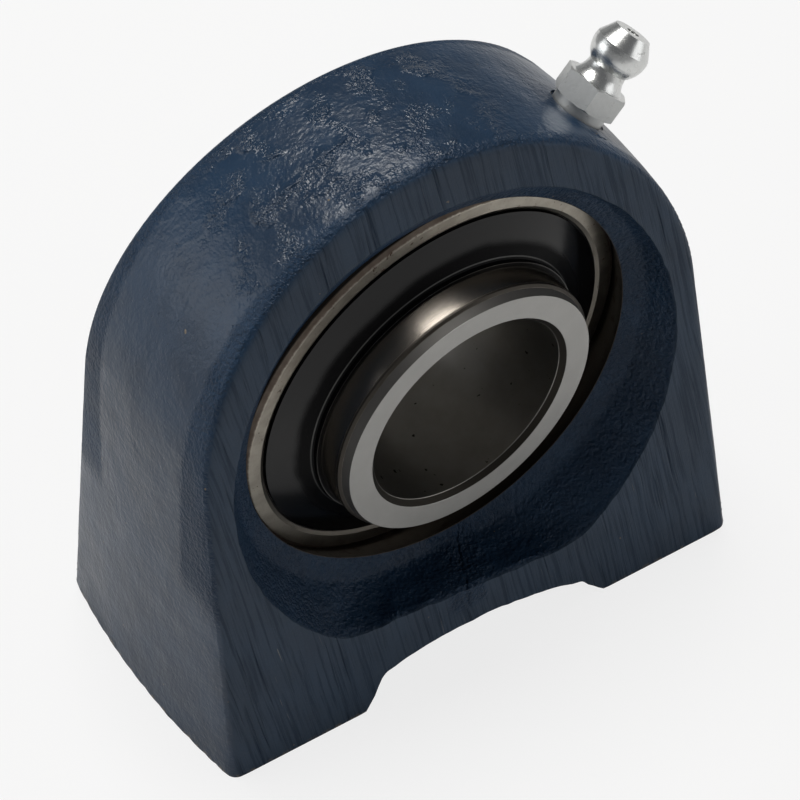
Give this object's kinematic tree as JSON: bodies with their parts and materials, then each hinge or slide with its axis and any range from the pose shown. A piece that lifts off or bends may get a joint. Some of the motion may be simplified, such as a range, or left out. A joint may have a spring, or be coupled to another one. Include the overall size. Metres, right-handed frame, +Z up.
{
  "type": "pillow block bearing",
  "caption": "Short-base cast-iron pillow block with a self-aligning sealed ball bearing insert, tapped holes in its base, set screws on the sleeve and a grease nipple.",
  "frame": {"origin": "centre of the spherical seat, on the shaft's axis", "axes": "+X along the base towards the grease nipple's side, +Y through the housing from front to back, along the shaft once the insert is square, +Z up from the base"},
  "size_m": [0.0704, 0.0394, 0.069],
  "materials": {
    "painted_iron": "semi-gloss navy blue paint over rough cast iron",
    "ring_steel": "ground bearing steel",
    "ball_steel": "polished bearing steel",
    "cage_nylon": "moulded nylon",
    "seal_rubber": "moulded nitrile rubber",
    "seal_steel": "cold-rolled steel",
    "flinger_steel": "glossy blackened pressed steel",
    "screw_steel": "black oxide",
    "zinc_steel": "turned steel, bright zinc plated",
    "spring_steel": "drawn wire"
  },
  "bodies": {
    "housing": {"housing": "painted_iron", "grease_nipple": "zinc_steel", "nipple_spring": "spring_steel"},
    "insert": {"outer_ring": "ring_steel", "seal_front": "seal_rubber", "seal_plate_front": "seal_steel", "seal_back": "seal_rubber", "seal_plate_back": "seal_steel"},
    "shaft_sleeve": {"inner_ring": "ring_steel", "flinger_front": "flinger_steel", "flinger_back": "flinger_steel"},
    "cage": {"cage": "cage_nylon"},
    "ball_1": {"ball_1": "ball_steel"},
    "ball_2": {"ball_2": "ball_steel"},
    "ball_3": {"ball_3": "ball_steel"},
    "ball_4": {"ball_4": "ball_steel"},
    "ball_5": {"ball_5": "ball_steel"},
    "ball_6": {"ball_6": "ball_steel"},
    "ball_7": {"ball_7": "ball_steel"},
    "ball_8": {"ball_8": "ball_steel"},
    "ball_9": {"ball_9": "ball_steel"},
    "set_screw_1": {"set_screw_1": "screw_steel"},
    "set_screw_2": {"set_screw_2": "screw_steel"},
    "check_ball": {"nipple_check_ball": "ball_steel"}
  },
  "joints": [
    {"name": "insert_swivel", "type": "hinge", "parent": "housing", "child": "insert", "pos_m": [0, 0, 0], "axis": [0.809, 0, 0.5878], "range_deg": [-11.9, 0.1]},
    {"name": "shaft_spin", "type": "hinge", "parent": "insert", "child": "shaft_sleeve", "pos_m": [0, 0, 0], "axis": [-0.0604, 0.9947, 0.0832], "continuous": true},
    {"name": "cage_spin", "type": "hinge", "parent": "insert", "child": "cage", "pos_m": [0, 0, 0], "axis": [-0.0604, 0.9947, 0.0832], "continuous": true},
    {"name": "ball_1_roll", "type": "hinge", "parent": "cage", "child": "ball_1", "pos_m": [0.01946, 0.00118, 0.00005], "axis": [-0.0604, 0.9947, 0.0832], "continuous": true},
    {"name": "ball_2_roll", "type": "hinge", "parent": "cage", "child": "ball_2", "pos_m": [0.01494, -0.00014, 0.01253], "axis": [-0.0604, 0.9947, 0.0832], "continuous": true},
    {"name": "ball_3_roll", "type": "hinge", "parent": "cage", "child": "ball_3", "pos_m": [0.00343, -0.00139, 0.01915], "axis": [-0.0604, 0.9947, 0.0832], "continuous": true},
    {"name": "ball_4_roll", "type": "hinge", "parent": "cage", "child": "ball_4", "pos_m": [-0.00969, -0.00199, 0.0168], "axis": [-0.0604, 0.9947, 0.0832], "continuous": true},
    {"name": "ball_5_roll", "type": "hinge", "parent": "cage", "child": "ball_5", "pos_m": [-0.01827, -0.00166, 0.0066], "axis": [-0.0604, 0.9947, 0.0832], "continuous": true},
    {"name": "ball_6_roll", "type": "hinge", "parent": "cage", "child": "ball_6", "pos_m": [-0.01831, -0.00055, -0.00669], "axis": [-0.0604, 0.9947, 0.0832], "continuous": true},
    {"name": "ball_7_roll", "type": "hinge", "parent": "cage", "child": "ball_7", "pos_m": [-0.00977, 0.00082, -0.01685], "axis": [-0.0604, 0.9947, 0.0832], "continuous": true},
    {"name": "ball_8_roll", "type": "hinge", "parent": "cage", "child": "ball_8", "pos_m": [0.00333, 0.0018, -0.01913], "axis": [-0.0604, 0.9947, 0.0832], "continuous": true},
    {"name": "ball_9_roll", "type": "hinge", "parent": "cage", "child": "ball_9", "pos_m": [0.01488, 0.00194, -0.01245], "axis": [-0.0604, 0.9947, 0.0832], "continuous": true},
    {"name": "set_screw_1_back_off", "type": "slide", "parent": "shaft_sleeve", "child": "set_screw_1", "axis": [0.8657, 0.0107, 0.5004], "range_m": [0, 0.004]},
    {"name": "set_screw_2_back_off", "type": "slide", "parent": "shaft_sleeve", "child": "set_screw_2", "axis": [-0.8632, -0.0939, 0.4961], "range_m": [0, 0.004]},
    {"name": "check_ball_lift", "type": "slide", "parent": "housing", "child": "check_ball", "axis": [-0.6947, 0, -0.7193], "range_m": [0, 0.0007], "stiffness_N_per_m": 500, "springref_m": -0.0006}
  ],
  "couplings": [
    {"joint": "cage_spin", "follows": "shaft_spin", "ratio": 0.39823},
    {"joint": "ball_1_roll", "follows": "shaft_spin", "ratio": -2.3548},
    {"joint": "ball_2_roll", "follows": "shaft_spin", "ratio": -2.3548},
    {"joint": "ball_3_roll", "follows": "shaft_spin", "ratio": -2.3548},
    {"joint": "ball_4_roll", "follows": "shaft_spin", "ratio": -2.3548},
    {"joint": "ball_5_roll", "follows": "shaft_spin", "ratio": -2.3548},
    {"joint": "ball_6_roll", "follows": "shaft_spin", "ratio": -2.3548},
    {"joint": "ball_7_roll", "follows": "shaft_spin", "ratio": -2.3548},
    {"joint": "ball_8_roll", "follows": "shaft_spin", "ratio": -2.3548},
    {"joint": "ball_9_roll", "follows": "shaft_spin", "ratio": -2.3548}
  ]
}
